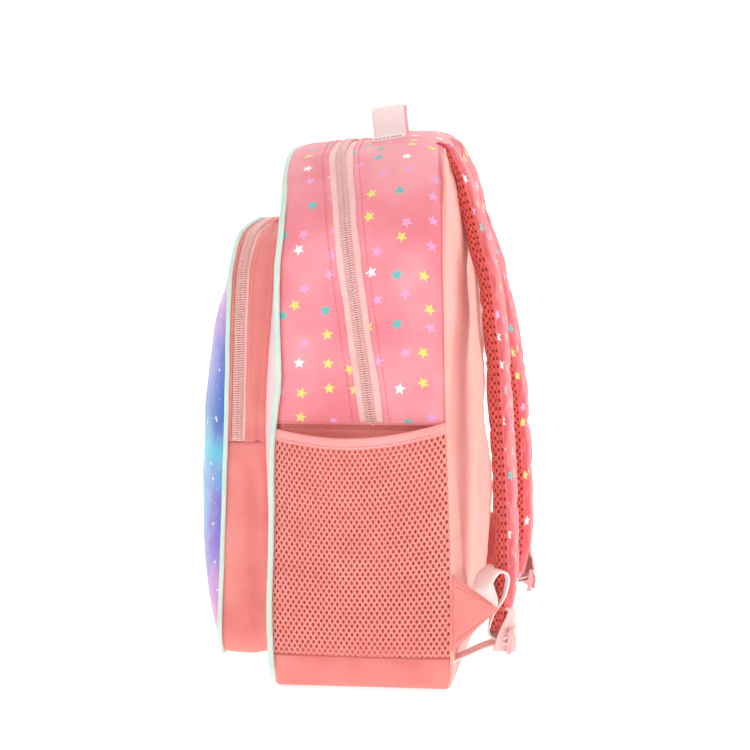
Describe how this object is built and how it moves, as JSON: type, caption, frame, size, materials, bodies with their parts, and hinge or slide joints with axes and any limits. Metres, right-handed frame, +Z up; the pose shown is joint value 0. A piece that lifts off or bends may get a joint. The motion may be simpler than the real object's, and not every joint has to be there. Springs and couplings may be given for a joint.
{
  "type": "school backpack",
  "caption": "Child's school backpack with an arched main zip, domed front pocket, mesh side pockets, padded shoulder straps and a webbing carry handle.",
  "frame": {"origin": "centre of the flat base", "axes": "+Z up to the carry handle, +X to the wearer's right, -Y to the front pocket"},
  "size_m": [0.3322, 0.2465, 0.4252],
  "materials": {
    "back_fabric": "smooth woven polyester",
    "foam": "soft closed-cell foam",
    "lining": "thin woven lining",
    "plain_fabric": "woven polyester",
    "star_fabric": "printed woven polyester",
    "zip_tape": "ribbed zip tape",
    "zip_coil": "nylon coil",
    "mesh": "open knitted mesh",
    "spacer_mesh": "knitted spacer mesh",
    "webbing": "ribbed webbing",
    "piping": "satin piping",
    "front_print": "printed woven polyester",
    "buckle": "moulded plastic",
    "slider_metal": "painted zinc"
  },
  "bodies": {
    "shell": {"back_panel": "back_fabric", "back_foam": "foam", "back_lining": "lining", "base_foam": "foam", "bottom_boot": "plain_fabric", "rear_gusset": "star_fabric", "main_zip_tape_rear": "zip_tape", "main_zip_coil_rear": "zip_coil", "side_gusset_right": "plain_fabric", "side_gusset_left": "plain_fabric", "mesh_pocket_right": "mesh", "mesh_pocket_left": "mesh", "pocket_hem_right": "plain_fabric", "pocket_hem_left": "plain_fabric", "anchor_tab_right": "plain_fabric", "anchor_tab_left": "plain_fabric", "lower_webbing_right": "webbing", "lower_webbing_left": "webbing"},
    "front": {"front_panel": "front_print", "front_lining": "lining", "front_piping": "piping", "front_gusset": "star_fabric", "main_zip_tape_front": "zip_tape", "main_zip_coil_front": "zip_coil", "pocket_gusset_lower": "plain_fabric", "pocket_gusset_rear": "plain_fabric", "pocket_zip_tape_rear": "zip_tape", "pocket_zip_coil_rear": "zip_coil"},
    "pocket_front": {"pocket_panel": "front_print", "pocket_piping": "piping", "pocket_zip_tape_front": "zip_tape", "pocket_zip_coil_front": "zip_coil"},
    "strap_right": {"strap_foam_right": "foam", "strap_mesh_right": "spacer_mesh", "strap_cover_right": "star_fabric", "ladder_lock_right": "buckle", "webbing_loop_right": "webbing", "webbing_tail_right": "webbing"},
    "strap_left": {"strap_foam_left": "foam", "strap_mesh_left": "spacer_mesh", "strap_cover_left": "star_fabric", "ladder_lock_left": "buckle", "webbing_loop_left": "webbing", "webbing_tail_left": "webbing"},
    "handle": {"carry_handle": "webbing"},
    "main_slider_lower": {"main_slider_lower": "slider_metal"},
    "main_slider_upper": {"main_slider_upper": "slider_metal"},
    "main_pull_lower": {"main_pull_lower": "slider_metal"},
    "main_pull_upper": {"main_pull_upper": "slider_metal"},
    "pocket_slider": {"pocket_slider": "slider_metal"},
    "pocket_pull": {"pocket_pull": "slider_metal"}
  },
  "joints": [
    {"name": "front_opening", "type": "hinge", "parent": "shell", "child": "front", "pos_m": [0, -0.0583, 0.0005], "axis": [1, 0, 0], "range_deg": [0, 12]},
    {"name": "pocket_opening", "type": "hinge", "parent": "front", "child": "pocket_front", "pos_m": [0, -0.095, 0.023], "axis": [1, 0, 0], "range_deg": [0, 8]},
    {"name": "strap_right_swing", "type": "hinge", "parent": "shell", "child": "strap_right", "pos_m": [0.045, 0.064, 0.394], "axis": [1, 0, 0], "range_deg": [0, 8]},
    {"name": "strap_left_swing", "type": "hinge", "parent": "shell", "child": "strap_left", "pos_m": [-0.045, 0.064, 0.394], "axis": [1, 0, 0], "range_deg": [0, 8]},
    {"name": "handle_flop", "type": "hinge", "parent": "shell", "child": "handle", "pos_m": [0, 0.016, 0.404], "axis": [1, 0, 0], "range_deg": [-25, 25]},
    {"name": "main_slider_lower_travel", "type": "slide", "parent": "shell", "child": "main_slider_lower", "axis": [0, -0.1409, 0.99], "range_m": [0, 0.014]},
    {"name": "main_pull_lower_swing", "type": "hinge", "parent": "main_slider_lower", "child": "main_pull_lower", "pos_m": [-0.156, 0.01424, 0.212], "axis": [0, 0.99, 0.1409], "range_deg": [0, 150]},
    {"name": "main_slider_upper_travel", "type": "slide", "parent": "shell", "child": "main_slider_upper", "axis": [0, -0.1409, 0.99], "range_m": [0, 0.042]},
    {"name": "main_pull_upper_swing", "type": "hinge", "parent": "main_slider_upper", "child": "main_pull_upper", "pos_m": [-0.156, 0.00712, 0.262], "axis": [0, 0.99, 0.1409], "range_deg": [0, 150]},
    {"name": "pocket_slider_travel", "type": "slide", "parent": "front", "child": "pocket_slider", "axis": [0, 0, 1], "range_m": [0, 0.06]},
    {"name": "pocket_pull_swing", "type": "hinge", "parent": "pocket_slider", "child": "pocket_pull", "pos_m": [-0.13, -0.086, 0.2], "axis": [0, 1, 0], "range_deg": [0, 150]}
  ]
}
